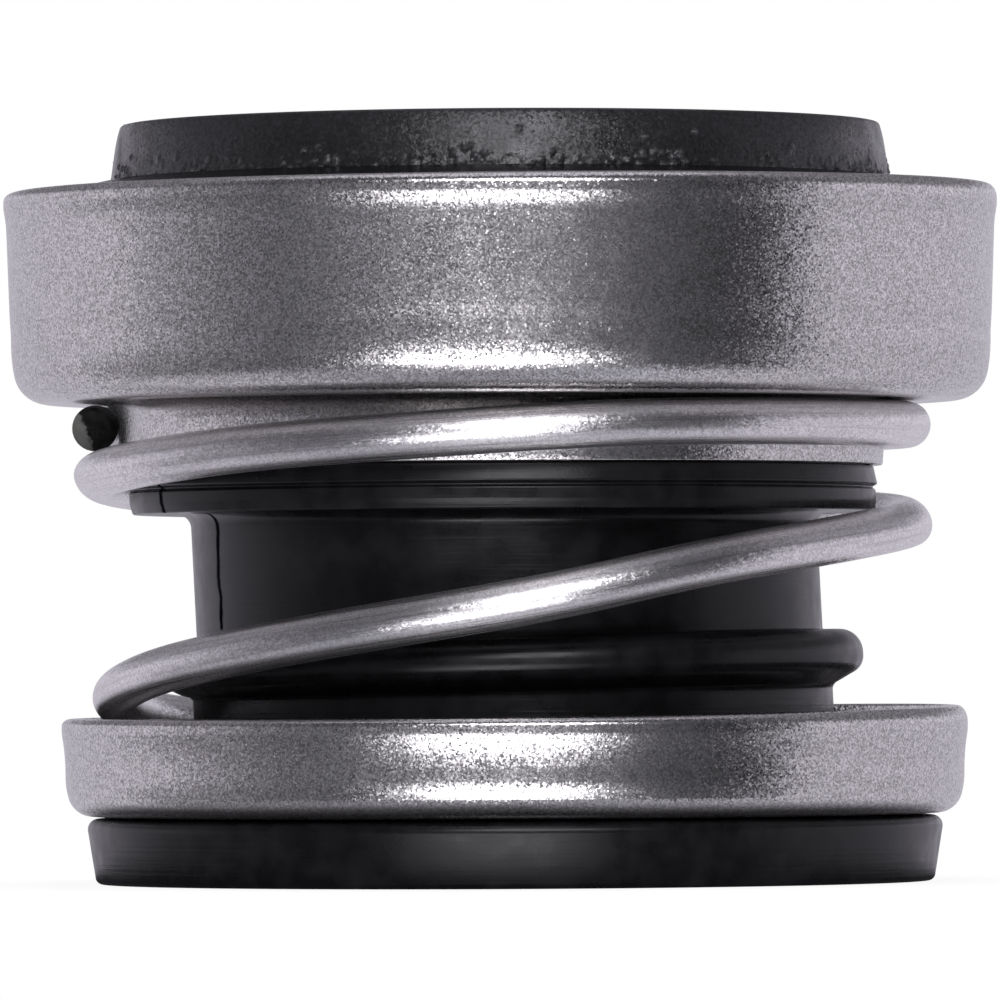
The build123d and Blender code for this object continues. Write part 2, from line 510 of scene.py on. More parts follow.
@dataclass(frozen=True)
class MouldedRubber(Finish):
    """Black nitrile rubber, moulded in a turned steel die, whose turning lines are printed in it.

    It is a near-black satin, with faint rings, a patchy dust of sulphur bloom and a dull line at the mould's
    seam. The turning lines and the skin's grain are drawn as coarse as they need to show.
    """

    colour: str = "0f0f10"
    bloom_colour: str = "1a1a1c"
    ior: float = 1.52
    specular_level: float = 0.25
    roughness: tuple[float, float] = (0.24, 0.35)
    turning_line: float = 0.07
    line_length: float = 5.0
    line_depth: float = 0.0055
    mottle: float = 0.6
    skin_grain: float = 0.08
    skin_depth: float = 0.00165
    seam_azimuth: float = -155.0
    seam_outer: float = 0.15
    seam_inner: float = 0.07
    seam_waver: float = 0.36
    seam_waver_length: float = 0.9
    seam_low: float = 5.75

    name = "moulded nitrile rubber"

    def seam(self, tree: NodeTree) -> NodeSocket:
        """Mark the uneven line down neck and shoulder where the die's halves met.

        Args:
            tree: the material's tree.

        Returns:
            How much a place lies in the line, from 0 to 1.
        """
        place = add(tree, "TexCoord", out="Object")
        parts = add(tree, "SeparateXYZ", {"Vector": place}).node.outputs
        azimuth = radians(self.seam_azimuth)
        beside = add(tree, "VectorMath", {
            0: place, 1: (-sin(azimuth), cos(azimuth), 0),
        }, operation="DOT_PRODUCT")
        waver = add(tree, "TexNoise", {
            "Vector": scaled_place(tree, self.seam_waver_length), "Scale": 1.0, "Detail": 3.0,
        })
        wavered = add(tree, "Math", {
            0: waver, 1: self.seam_waver * MM, 2: beside,
        }, operation="MULTIPLY_ADD")
        off = add(tree, "Math", {0: wavered, 1: self.seam_waver / 2 * MM}, operation="SUBTRACT")
        away = add(tree, "Math", {0: off}, operation="ABSOLUTE")
        marked = 1.0
        # It fades in towards its middle, lies on one side only, and ends above the bead
        for where, start, end in (
            (away, self.seam_outer, self.seam_inner),
            (parts["X"], -2.0, -3.0),
            (parts["Z"], self.seam_low - 0.1, self.seam_low),
        ):
            marked = add(tree, "MapRange", {
                "Value": where, "From Min": start * MM, "From Max": end * MM, "To Max": marked,
            })
        return marked

    def skin(self, tree: NodeTree) -> dict:
        """Lay the turning lines, the bloom and the seam on the rubber.

        Args:
            tree: the material's tree.

        Returns:
            The shader's inputs.
        """
        rings = add(tree, "TexNoise", {
            "Vector": scaled_place(tree, self.line_length, self.line_length, self.turning_line),
            "Scale": 1.0, "Detail": 3.0, "Roughness": 0.6,
        })
        mottles, grains = (
            add(tree, "TexNoise", {"Vector": scaled_place(tree, size), "Scale": 1.0, "Detail": detail})
            for size, detail in ((self.mottle, 5.0), (self.skin_grain, 2.0))
        )
        ringed = add(tree, "Bump", {"Height": rings, "Distance": self.line_depth * MM})
        return {
            "Base Color": add(tree, "ValToRGB", {"Fac": mottles}, stops=(
                (0.35, self.colour), (0.72, self.bloom_colour),
            )),
            "Roughness": add(tree, "MapRange", {
                "Value": mottles, **MOST_NOISE, "To Min": self.roughness[0], "To Max": self.roughness[1],
            }),
            "IOR": self.ior,
            "Specular IOR Level": add(tree, "MapRange", {
                "Value": self.seam(tree), "To Min": self.specular_level, "To Max": 0.0,
            }),
            "Normal": add(tree, "Bump", {
                "Height": grains, "Distance": self.skin_depth * MM, "Normal": ringed,
            }),
        }


@dataclass(frozen=True)
class PressedCarbon(Finish):
    """Resin-bonded carbon graphite, pressed to shape: dull, grainy, with a faint metallic glint.

    It is a charcoal black whose grains glint one by one where light falls along them. They are drawn as
    coarse as they need to show.
    """

    colour: str = "202021"
    grain_colour: str = "323134"
    crumb_colour: str = "58585a"
    ior: float = 1.5
    specular_level: float = 0.55
    roughness: tuple[float, float] = (0.21, 0.39)
    grain: float = 0.09
    grain_depth: float = 0.010
    patch: float = 0.9
    facet: float = 0.05
    facet_tilt: float = 0.16

    name = "pressed carbon graphite"

    def skin(self, tree: NodeTree) -> dict:
        """Lay grains, duller patches and pale crumbs on the carbon.

        Args:
            tree: the material's tree.

        Returns:
            The shader's inputs.
        """
        grains = add(tree, "TexNoise", {
            "Vector": scaled_place(tree, self.grain), "Scale": 1.0, "Detail": 4.0, "Roughness": 0.7,
        })
        patches = add(tree, "TexNoise", {
            "Vector": scaled_place(tree, self.patch), "Scale": 1.0, "Detail": 3.0,
        })
        plain = add(tree, "ValToRGB", {"Fac": grains}, stops=(
            (0.42, self.colour), (0.68, self.grain_colour),
        ))
        crumbs = add(tree, "Attribute", out="Fac", attribute_name="crumb")
        bumped = add(tree, "Bump", {"Height": grains, "Distance": self.grain_depth * MM})
        return {
            "Base Color": add(tree, "Mix", {
                0: crumbs, 6: plain, 7: linear(self.crumb_colour),
            }, data_type="RGBA"),
            "Roughness": add(tree, "MapRange", {
                "Value": patches, **MOST_NOISE, "To Min": self.roughness[0], "To Max": self.roughness[1],
            }),
            "IOR": self.ior,
            "Specular IOR Level": self.specular_level,
            "Normal": grained(tree, self.facet, self.facet_tilt, bumped)[1],
        }


@dataclass(frozen=True)
class PaleFloor(Finish):
    """White studio table: plain, matt, and nearly as bright as the backdrop."""

    colour: str = "f2f2f2"
    roughness: float = 0.8
    lift: float = 0.93
    near: float = 10.0
    far: float = 12.8

    name = "white table"

    def skin(self, tree: NodeTree) -> dict:
        """Leave the table plain."""
        return {"Base Color": linear(self.colour), "Roughness": self.roughness}

    def seen(self, tree: NodeTree, shader: NodeSocket) -> NodeSocket:
        """Lift the table to the backdrop's white as the camera sees it, and clear it from below.

        Args:
            tree: the material's tree.
            shader: the plain table.

        Returns:
            What the surface shows.
        """
        place = add(tree, "TexCoord", out="Object")
        away = add(tree, "VectorMath", {0: place}, operation="LENGTH")
        lift = add(tree, "MapRange", {
            "Value": away, "From Min": self.near * MM, "From Max": self.far * MM, "To Min": self.lift,
        })
        from_camera = add(tree, "LightPath", out="Is Camera Ray")
        lifted = add(tree, "Math", {0: from_camera, 1: lift}, operation="MULTIPLY")
        white = add(tree, "Emission", {"Strength": 1.0})
        upper_side = add(tree, "MixShader", {0: lifted, 1: shader, 2: white})
        from_below = add(tree, "NewGeometry", out="Backfacing")
        clear = add(tree, "BsdfTransparent")
        return add(tree, "MixShader", {0: from_below, 1: upper_side, 2: clear})


@dataclass(frozen=True)
class FootShade(Finish):
    """Black that fades to clear outwards, as the dark where the piece stands on the table."""

    depth: float = 0.94
    near: float = 9.7
    far: float = 12.9

    name = "shade at the foot"

    def skin(self, tree: NodeTree) -> dict:
        """Leave the shade plain black."""
        return {"Base Color": (0.0, 0.0, 0.0, 1.0), "Specular IOR Level": 0.0}

    def seen(self, tree: NodeTree, shader: NodeSocket) -> NodeSocket:
        """Fade the shade outwards.

        Args:
            tree: the material's tree.
            shader: the plain black.

        Returns:
            What the surface shows.
        """
        place = add(tree, "TexCoord", out="Object")
        away = add(tree, "VectorMath", {0: place}, operation="LENGTH")
        shaded = add(tree, "MapRange", {
            "Value": away, "From Min": self.near * MM, "From Max": self.far * MM, "To Min": self.depth,
            "To Max": 0.0,
        }, interpolation_type="SMOOTHSTEP")
        clear = add(tree, "BsdfTransparent")
        return add(tree, "MixShader", {0: shaded, 1: clear, 2: shader})


# Sub-assemblies


class Piece:
    """One piece of the seal: it takes its finish, stands for its CAD node and moves with its body."""

    node = ""
    slot = Slot.DRAWN_STAINLESS

    def dress(self, piece: Object, *finishes: Material) -> None:
        """Give a piece its finishes, and hide the CAD node that it stands for.

        Args:
            piece: the finished mesh.
            finishes: its materials, in the order of the mesh's material numbers.
        """
        for number, finish in enumerate(finishes):
            if number < len(piece.data.materials):
                piece.data.materials[number] = finish
            else:
                piece.data.materials.append(finish)
        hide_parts(self.node)
        log.info("%s: %d faces", piece.name, len(piece.data.polygons))

    def ride(self, piece: Object, body: str) -> None:
        """Let a piece move with one body."""
        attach(piece, body)

    def stretch(self, piece: Object, fixed_below: float, moving_above: float) -> None:
        """Bake a piece's placement into its mesh."""
        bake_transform(piece)


@dataclass
class Stack:
    """Heights and radii of the CAD model, in millimetres."""

    foot_top: float
    dish_rim: float
    dish_radius: float
    collar_end: float
    head_rim: float
    head_radius: float
    ring_base: float
    ring_top: float
    ring_radius: float
    spring_low: float
    spring_high: float

    @classmethod
    def measured(cls) -> "Stack":
        """Read the stack from the CAD nodes' boxes.

        Returns:
            The stack, in millimetres.
        """
        dish_low, dish_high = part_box("tail_cup")
        cup_low, cup_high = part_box("head_cup")
        ring_low, ring_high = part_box("face_ring")
        spring_low, spring_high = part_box("spring")
        metres = (
            dish_low.z, dish_high.z, dish_high.x, cup_low.z, cup_high.z, cup_high.x,
            ring_low.z, ring_high.z, ring_high.x, spring_low.z, spring_high.z,
        )
        return cls(*[length / MM for length in metres])


@dataclass(frozen=True)
class SidewaysSet:
    """How the relaxed rubber lets the tail sit a little to one side of the head."""

    aside: float = 0.27

    def apply(self, piece: Object, fully_below: float, none_above: float) -> None:
        """Move a piece's points aside.

        Args:
            piece: the finished mesh.
            fully_below: height under which it moves by the whole amount, in millimetres.
            none_above: height from which it stays where it is.
        """
        for vertex in piece.data.vertices:
            share = (none_above - vertex.co.z / MM) / (none_above - fully_below)
            vertex.co.x += max(0.0, min(1.0, share)) * self.aside * MM


@dataclass
class FaceRing(Piece):
    """Carbon ring: straight in its pocket, tapered above it, lapped on top, crumbly along the cup's rim."""

    stack: Stack
    bore_radius: float = 5.75
    face_radius: float = 8.58
    face_drop: float = 0.09
    chamfer: float = 0.25
    edge: float = 0.10
    mouth_depth: float = 0.1
    # Where the side leaves the pocket's radius: (millimetres above the cup's rim, millimetres inwards)
    side = ((0.30, 0.0), (0.59, 0.04), (0.86, 0.08), (1.04, 0.11), (1.22, 0.15))
    plain_run: float = 0.6
    crumbly_run: float = 0.055
    steps_round: int = 1000
    crumb_low: float = 0.22
    crumb_high: float = 0.95
    crumb_size: float = 0.16
    crumb_rise: float = 0.055
    crumb_chance: float = 0.75
    patch_size: float = 1.1
    pit_size: float = 0.17
    pit_depth: float = 0.12
    pit_level: float = 0.62
    least_share: float = 0.06

    node = "face_ring"
    slot = Slot.CARBON

    def build(self) -> Object:
        """Turn the ring, then rough up its side.

        Returns:
            The ring.
        """
        base = self.stack.ring_base
        top = self.stack.ring_top - self.face_drop
        radius = self.stack.ring_radius
        rim = self.stack.head_rim
        plain = section([
            Corner(self.face_radius, top, self.edge),
            Corner(self.bore_radius, top, self.edge),
            Corner(self.bore_radius, base, self.chamfer),
            Corner(radius, base, self.chamfer),
            Corner(radius, rim - self.mouth_depth),
            *[Corner(radius - inwards, rim + above) for above, inwards in self.side],
        ], self.plain_run)
        points = []
        for here, ahead in zip(plain, plain[1:] + plain[:1]):
            # The side and the brim of the pocket are crumbly; the pocket, the face and the bore are plain
            outside = min(here[0], ahead[0]) > self.face_radius - 0.4
            exposed = outside and min(here[1], ahead[1]) > rim - self.mouth_depth - 0.01
            run = hypot(ahead[0] - here[0], ahead[1] - here[1])
            pieces = max(1, round(run / self.crumbly_run)) if exposed else 1
            points += [tuple(Vector(here).lerp(Vector(ahead), piece / pieces)) for piece in range(pieces)]
        piece = turned("face_ring_pressed", points, self.steps_round)
        crumbs = piece.data.attributes.new("crumb", "FLOAT", "POINT")
        for vertex, crumb in zip(piece.data.vertices, crumbs.data):
            crumb.value = self.crumble(vertex)
        finish_mesh(piece)
        return piece

    def crumble(self, vertex: MeshVertex) -> float:
        """Sink a point of the side into a pit or lift it on a crumb, the likelier the nearer the cup's rim.

        Args:
            vertex: a point of the ring's mesh.

        Returns:
            How much of a crumb it is, from 0 to 1.
        """
        place = vertex.co
        above_rim = place.z / MM - self.stack.head_rim
        outwards = Vector((place.x, place.y, 0))
        if outwards.length < (self.bore_radius + 1) * MM or above_rim < -0.05:
            return 0.0
        patch = noise.noise(place / (self.patch_size * MM))
        share = (self.crumb_high + 0.5 * patch - above_rim) / (self.crumb_high - self.crumb_low)
        share = max(self.least_share, min(1.0, share))
        pit = max(0.0, noise.turbulence(place / (self.pit_size * MM), 3, True) - self.pit_level) * share
        distances, centres = noise.voronoi(place / (self.crumb_size * MM))
        # The factor only takes each grain's centre to a part of the noise that its neighbours don't share
        chance = 0.5 + 0.8 * noise.noise(centres[0] * 7.31)
        crumb = max(0.0, 1 - (distances[0] / 0.5) ** 2) if chance < self.crumb_chance * share ** 2 else 0.0
        vertex.co += outwards.normalized() * (crumb * self.crumb_rise - pit * self.pit_depth) * MM
        return crumb


@dataclass
class DrawnCup(Piece):
    """Cup drawn from sheet: a rolled lip, a wall whose lean changes on its way down, and a round heel.

    The leans are (millimetres below the rim, degrees that the wall leans in on its way down), from the foot
    of the lip to the heel. They ease from one to the next.
    """

    stack: Stack
    rim: float
    rim_radius: float
    height: float
    leans: tuple[tuple[float, float], ...]
    heel: float
    lip_growth: float
    taller_towards: float
    longest_run: float
    lip: float = 0.24
    wall_run: float = 0.035
    sheet: float = 0.40
    inner_edge: float = 0.05
    steps_round: int = 288

    slot = Slot.DRAWN_STAINLESS

    def lean(self, depth: float) -> float:
        """Lean of the wall, in degrees, so many millimetres below the rim.

        Args:
            depth: millimetres below the rim.

        Returns:
            The lean.
        """
        for (upper, before), (lower, after) in zip(self.leans, self.leans[1:]):
            if depth <= lower:
                share = max(0.0, (depth - upper) / (lower - upper))
                return before + (after - before) * share * share * (3 - 2 * share)
        return self.leans[-1][1]

    def wall(self, depth: float) -> float:
        """Outer radius of the wall, in millimetres, so many millimetres below the rim."""
        top = self.leans[0][0]
        steps = 80
        run = max(0.0, depth - top) / steps
        inwards = sum(tan(radians(self.lean(top + (step + 0.5) * run))) * run for step in range(steps))
        return self.rim_radius - inwards

    def outside(self) -> list[Corner]:
        """Walk down the outside, from the lip's top to the heel's corner on the underside.

        Returns:
            The corners.
        """
        last_lean = radians(self.leans[-1][1])
        heel_rise = self.heel * (1 - sin(last_lean))
        top = self.leans[0][0]
        run = self.height - heel_rise - top
        count = round(run / self.wall_run)
        depths = [top + run * step / count for step in range(count + 1)]
        return [
            Corner(self.rim_radius, self.rim, self.lip),
            *[Corner(self.wall(depth), self.rim - depth) for depth in depths[1:]],
            Corner(self.wall(depths[-1]) - heel_rise * tan(last_lean), self.rim - self.height, self.heel),
        ]

    def draw(self, floor: float, bottom: list[Corner]) -> Object:
        """Turn the cup, then make its lip taller on one side and lower on the other, as drawn sheet ends.

        Args:
            floor: height of the floor's upper side.
            bottom: the corners between the heel's and the floor's.

        Returns:
            The cup.
        """
        corners = self.outside() + bottom + [
            Corner(self.wall(self.height - self.heel) - self.sheet, floor, self.heel - self.sheet),
            Corner(self.rim_radius - self.sheet, self.rim, self.inner_edge),
        ]
        piece = turned(f"{self.node}_drawn", section(corners, self.longest_run), self.steps_round)
        foot = self.rim - self.leans[0][0]
        taller = Vector((cos(radians(self.taller_towards)), sin(radians(self.taller_towards))))
        for vertex in piece.data.vertices:
            above = vertex.co.z / MM - foot
            if above > 0:
                side = vertex.co.xy.normalized() @ taller
                vertex.co.z += above * self.lip_growth * (side + 0.3 * side * side) * MM
        return piece


@dataclass
class HeadCup(DrawnCup):
    """Drawn cup that holds the ring, with the collar that its floor turns down into."""

    height: float = 4.80
    leans: tuple[tuple[float, float], ...] = (
        (0.23, 0.6), (0.37, 0.6), (0.44, 10.0), (0.60, 9.5), (0.78, 4.8), (0.92, 2.0), (2.70, 2.0),
        (2.94, 3.6), (3.16, 3.6), (3.30, 0.7), (3.46, 0.7), (3.62, 2.8), (3.84, 5.6), (4.02, 8.5),
        (4.17, 12.0),
    )
    heel: float = 0.76
    lip_growth: float = 0.25
    taller_towards: float = 10.0
    longest_run: float = 0.12
    collar_radius: float = 8.65
    collar_bend: float = 0.46
    collar_inner_bend: float = 0.60
    collar_end_taper: float = 0.03
    collar_end_edge: float = 0.04

    node = "head_cup"
    # The lip stands this much lower than the CAD model's rim
    rim_drop = 0.05

    def build(self) -> Object:
        """Draw the cup and its collar.

        Returns:
            The cup.
        """
        underside = self.rim - self.height
        floor = underside + self.sheet
        end = self.stack.collar_end
        inside = self.collar_radius - self.sheet
        return self.draw(floor, [
            Corner(self.collar_radius, underside, self.collar_bend),
            Corner(self.collar_radius, end + 0.40, 0.5),
            Corner(self.collar_radius - self.collar_end_taper, end, self.collar_end_edge),
            Corner(inside, end, self.collar_end_edge),
            Corner(inside, floor, self.collar_inner_bend),
        ])


@dataclass
class Dish(DrawnCup):
    """Flared dish that carries the spring on the rubber foot."""

    height: float = 2.29
    leans: tuple[tuple[float, float], ...] = (
        (0.24, 0.0), (0.38, 0.0), (0.45, 8.5), (0.63, 8.5), (0.78, 6.6), (0.90, 4.2), (1.10, 3.2),
        (1.23, 0.6), (1.40, 0.6), (1.56, 5.5), (1.69, 9.5), (1.83, 14.0),
    )
    heel: float = 0.57
    lip_growth: float = 0.50
    taller_towards: float = 30.0
    longest_run: float = 0.10
    hole_radius: float = 7.26
    hole_edge: float = 0.03

    node = "tail_cup"

    def build(self) -> Object:
        """Draw the dish.

        Returns:
            The dish.
        """
        floor = self.stack.foot_top + self.sheet
        return self.draw(floor, [
            Corner(self.hole_radius, self.rim - self.height),
            Corner(self.hole_radius, floor, self.hole_edge),
        ])


@dataclass
class Bellows(Piece):
    """One rubber moulding: foot, sleeve, bead, neck, stem through the collar, pocket round the ring."""

    stack: Stack
    fit: float = 0.02
    foot_radius: float = 9.70
    foot_draft: float = 9.0
    seat_rise: float = 0.045
    foot_seat_radius: float = 8.77
    sleeve_radius: float = 7.24
    sleeve_length: float = 5.20
    sleeve_chamfer: float = 0.45
    bore_radius: float = 4.90
    bead_radius: float = 7.97
    bead_bottom: float = 4.45
    bead_flank: float = 0.40
    bead_top: float = 5.70
    bead_squat: float = 0.36
    neck_radius: float = 7.08
    neck_wall: float = 0.88
    shoulder_radius: float = 8.44
    shoulder_length: float = 1.045
    groove_height: float = 0.48
    groove_width: float = 0.14
    groove_depth: float = 0.08
    lip_fall: float = 0.22
    lip_radius: float = 9.5
    longest_run: float = 0.14
    steps_round: int = 200

    node = "bellows"
    slot = Slot.MOULDED_RUBBER

    def build(self, cup: HeadCup) -> Object:
        """Turn the moulding.

        Args:
            cup: the cup whose walls the pocket fits.

        Returns:
            The moulding.
        """
        foot_top = self.stack.foot_top
        foot_bottom = self.foot_radius - foot_top * tan(radians(self.foot_draft))
        collar_end = self.stack.collar_end - self.fit
        shoulder = self.stack.collar_end - self.shoulder_length
        groove = shoulder + self.groove_height
        inset = cup.sheet + self.fit
        stem = cup.collar_radius - inset
        floor = cup.rim - cup.height + inset
        lip = cup.rim - self.lip_fall
        pocket = self.stack.ring_radius + self.fit
        seat = self.stack.ring_base - self.fit
        neck_bore = self.neck_radius - self.neck_wall
        corners = [
            Corner(foot_bottom, 0, 0.16),
            Corner(self.foot_radius, foot_top, 0.24),
            Corner(self.foot_seat_radius, foot_top + self.seat_rise),
            Corner(self.sleeve_radius, foot_top),
            Corner(self.sleeve_radius, self.bead_bottom, 0.20),
            Corner(self.bead_radius, self.bead_bottom + self.bead_flank, 0.42),
            Corner(self.bead_radius, self.bead_top, 0.52),
            Corner(self.neck_radius, self.bead_top, 0.04),
            Corner(self.neck_radius, shoulder, 0.30),
            Corner(self.shoulder_radius - 0.06, shoulder, 0.05),
            Corner(self.shoulder_radius, shoulder + 0.22, 0.2),
            Corner(self.shoulder_radius, groove, 0.05),
            Corner(self.shoulder_radius - self.groove_depth, groove + self.groove_width / 2, 0.03),
            Corner(self.shoulder_radius + 0.05, groove + self.groove_width, 0.05),
            Corner(self.shoulder_radius - 0.03, collar_end, 0.05),
            Corner(stem, collar_end),
            Corner(stem, floor, 0.62),
            Corner(cup.wall(cup.rim - floor) - inset, floor, cup.heel - cup.sheet),
            Corner(cup.wall(self.lip_fall) - inset, lip, 0.05),
            Corner(self.lip_radius, cup.rim + 0.09, 0.5),
            Corner(pocket, cup.rim + 0.24, 0.03),
            Corner(pocket, seat),
            Corner(neck_bore, seat, 0.05),
            Corner(neck_bore, self.sleeve_length + neck_bore - self.bore_radius, 0.2),
            Corner(self.bore_radius, self.sleeve_length, 0.2),
            Corner(self.bore_radius, self.sleeve_chamfer, 0.1),
            Corner(self.bore_radius + self.sleeve_chamfer, 0, 0.05),
        ]
        piece = turned("bellows_moulded", section(corners, self.longest_run), self.steps_round)
        for vertex in piece.data.vertices:
            vertex.co.z -= self.squat(vertex.co) * MM
        return piece

    def squat(self, place: Vector) -> float:
        """How far the bead sits below its moulded height at a place: more on one side than on the other.

        Args:
            place: a point of the moulding, in metres.

        Returns:
            The drop, in millimetres.
        """
        height = place.z / MM
        rise = max(0.0, min(1.0, (height - 3.9) / 0.7))
        fall = max(0.0, min(1.0, (7.2 - height) / 1.4))
        return self.bead_squat * (1 - place.x / MM / self.bead_radius) / 2 * rise * fall


@dataclass
class Spring(Piece):
    """Round-wire coil with closed ends, right-handed, its top turn snug on the collar."""

    stack: Stack
    wire: float = 1.04
    turns: float = 3.0
    top_radius: float = 9.19
    lower_radius: float = 9.02
    snug_turns: float = 0.9
    taper_turns: float = 0.6
    top_closed_turns: float = 0.70
    bottom_closed_turns: float = 0.58
    rings_per_turn: int = 200
    sides: int = 36
    tear_depth: float = 0.05
    tear_size: float = 0.22
    tear_rings: int = 9
    # How the wire drops between the closed turns: (share of the open turns, share of the drop)
    stations = (
        (-0.26, 0.0), (-0.06, 0.0055), (-0.004, 0.012), (0.019, 0.024), (0.041, 0.040), (0.063, 0.056),
        (0.088, 0.075), (0.116, 0.101), (0.145, 0.125), (0.174, 0.144), (0.232, 0.175), (0.320, 0.206),
        (0.400, 0.238), (0.465, 0.276), (0.535, 0.351), (0.614, 0.521), (0.647, 0.585), (0.677, 0.640),
        (0.701, 0.682), (0.756, 0.776), (0.814, 0.842), (0.880, 0.905), (1.0, 1.0),
    )

    node = "spring"
    slot = Slot.SPRING_WIRE

    def build(self, wire_finish: Material) -> Object:
        """Wind the coil by a node tree, make it a plain mesh and tear its cropped ends.

        Args:
            wire_finish: the finish that the tree sets.

        Returns:
            The spring.
        """
        sizes = {
            "Wire": self.wire * MM,
            "Top radius": self.top_radius * MM,
            "Lower radius": self.lower_radius * MM,
            "Top height": self.stack.spring_high * MM - self.wire * MM / 2,
            "Bottom height": self.stack.spring_low * MM + self.wire * MM / 2,
            "Turns": self.turns,
            "Snug turns": self.snug_turns,
            "Taper turns": self.taper_turns,
            "Finish": wire_finish,
        }
        tree = self.winding_tree(list(sizes))
        carrier = put_in_scene("spring_winding", bpy.data.meshes.new("spring_winding"))
        modifier = carrier.modifiers.new("winding", "NODES")
        modifier.node_group = tree
        for item in tree.interface.items_tree:
            if item.in_out == "INPUT":
                modifier[item.identifier] = sizes[item.name]
        wound = carrier.evaluated_get(bpy.context.evaluated_depsgraph_get())
        mesh = bpy.data.meshes.new_from_object(wound)
        carrier.modifiers.remove(modifier)
        bpy.data.objects.remove(carrier)
        mesh.name = "spring_wound"
        piece = put_in_scene("spring_wound", mesh)
        self.tear_ends(piece)
        finish_mesh(piece)
        return piece

    def winding_tree(self, sizes: list[str]) -> NodeTree:
        """Build the tree that winds the wire: a line of points, bent round and down, swept by a circle.

        Args:
            sizes: names of the tree's inputs. The last is the finish.

        Returns:
            The tree.
        """
        tree = bpy.data.node_groups.new("wind the coil", "GeometryNodeTree")
        for name in sizes:
            kind = "NodeSocketMaterial" if name == sizes[-1] else "NodeSocketFloat"
            tree.interface.new_socket(name, in_out="INPUT", socket_type=kind)
        tree.interface.new_socket("Geometry", in_out="OUTPUT", socket_type="NodeSocketGeometry")
        given = add(tree, "NodeGroupInput").node.outputs

        rings = round(self.turns * self.rings_per_turn) + 1
        line = add(tree, "GeometryNodeCurvePrimitiveLine")
        points = add(tree, "GeometryNodeResampleCurve", {"Curve": line, "Count": rings})
        share = add(tree, "GeometryNodeSplineParameter", out="Factor")
        turn = add(tree, "Math", {0: share, 1: given["Turns"]}, operation="MULTIPLY")
        turned_by = add(tree, "Math", {0: turn, 1: 2 * pi}, operation="MULTIPLY")
        angle = add(tree, "Math", {0: pi, 1: turned_by}, operation="SUBTRACT")
        taper_end = add(tree, "Math", {0: given["Snug turns"], 1: given["Taper turns"]})
        radius = add(tree, "MapRange", {
            "Value": turn, "From Min": given["Snug turns"], "From Max": taper_end,
            "To Min": given["Top radius"], "To Max": given["Lower radius"],
        })
        place = {"Z": add(tree, "MapRange", {
            "Value": self.drop(tree, share), "To Min": given["Top height"], "To Max": given["Bottom height"],
        })}
        for axis, part in (("X", "COSINE"), ("Y", "SINE")):
            unit = add(tree, "Math", {0: angle}, operation=part)
            place[axis] = add(tree, "Math", {0: radius, 1: unit}, operation="MULTIPLY")
        coil = add(tree, "GeometryNodeSetPosition", {
            "Geometry": points, "Position": add(tree, "CombineXYZ", place),
        })
        coil = add(tree, "GeometryNodeSetCurveNormal", {"Curve": coil}, mode="Z_UP")

        for name, kind, value in (
            ("along", "FLOAT", add(tree, "GeometryNodeSplineParameter", out="Length")),
            ("axis", "FLOAT_VECTOR", add(tree, "GeometryNodeInputTangent")),
        ):
            coil = add(tree, "GeometryNodeStoreNamedAttribute", {
                "Geometry": coil, "Name": name, "Value": value,
            }, data_type=kind)
        half = add(tree, "Math", {0: given["Wire"], 1: 2.0}, operation="DIVIDE")
        circle = add(tree, "GeometryNodeCurvePrimitiveCircle", {"Resolution": self.sides, "Radius": half})
        marked = add(tree, "GeometryNodeStoreNamedAttribute", {
            "Geometry": circle, "Name": "across", "Value": add(tree, "GeometryNodeInputPosition"),
        }, data_type="FLOAT_VECTOR")
        wire = add(tree, "GeometryNodeCurveToMesh", {
            "Curve": coil, "Profile Curve": marked, "Fill Caps": True,
        })
        realized = add(tree, "GeometryNodeRealizeInstances", {"Geometry": wire})
        finished = add(tree, "GeometryNodeSetMaterial", {"Geometry": realized, "Material": given["Finish"]})
        add(tree, "NodeGroupOutput", {"Geometry": finished})
        return tree

    def drop(self, tree: NodeTree, share: NodeSocket) -> NodeSocket:
        """Add the curve that says how far down the wire is.

        Args:
            tree: the winding tree.
            share: the share of the wire's length from its top end.

        Returns:
            The share of the whole drop.
        """
        dropped = add(tree, "FloatCurve", {"Value": share})
        mapping = dropped.node.mapping
        open_turns = self.turns - self.top_closed_turns - self.bottom_closed_turns
        points = mapping.curves[0].points
        for along, down in self.stations:
            points.new((self.top_closed_turns + along * open_turns) / self.turns, down)
        for point in points:
            point.handle_type = "AUTO_CLAMPED"
        mapping.update()
        return dropped

    def tear_ends(self, piece: Object) -> None:
        """Divide the wire's flat ends into rings and roughen them, as a crop leaves them.

        Args:
            piece: the wound wire.
        """
        radius = self.wire * MM / 2
        shape = bmesh.new()
        shape.from_mesh(piece.data)
        ends = [face for face in shape.faces if len(face.verts) > 4]
        for end in ends:
            outwards = end.normal.copy()
            middle = end.calc_center_median()
            end.material_index = 1
            for ring in range(self.tear_rings):
                step = bmesh.ops.inset_individual(
                    shape, faces=[end], thickness=radius / (self.tear_rings + 0.6), use_even_offset=False
                )
                for face in step["faces"]:
                    face.material_index = 1
            torn = {vertex for face in shape.faces if face.material_index == 1 for vertex in face.verts}
            for vertex in torn:
                if (vertex.co - middle).length / radius < 0.97:
                    rough = noise.fractal(vertex.co / (self.tear_size * MM), 0.8, 2.0, 4)
                    vertex.co += outwards * (rough - 0.4) * self.tear_depth * MM
        shape.to_mesh(piece.data)
        shape.free()


# Studio


def hide_from(thing: Object, *rays: str) -> None:
    """Hide an object from rays of some kinds, such as "camera" or "shadow"."""
    for ray in rays:
        setattr(thing, f"visible_{ray}", False)


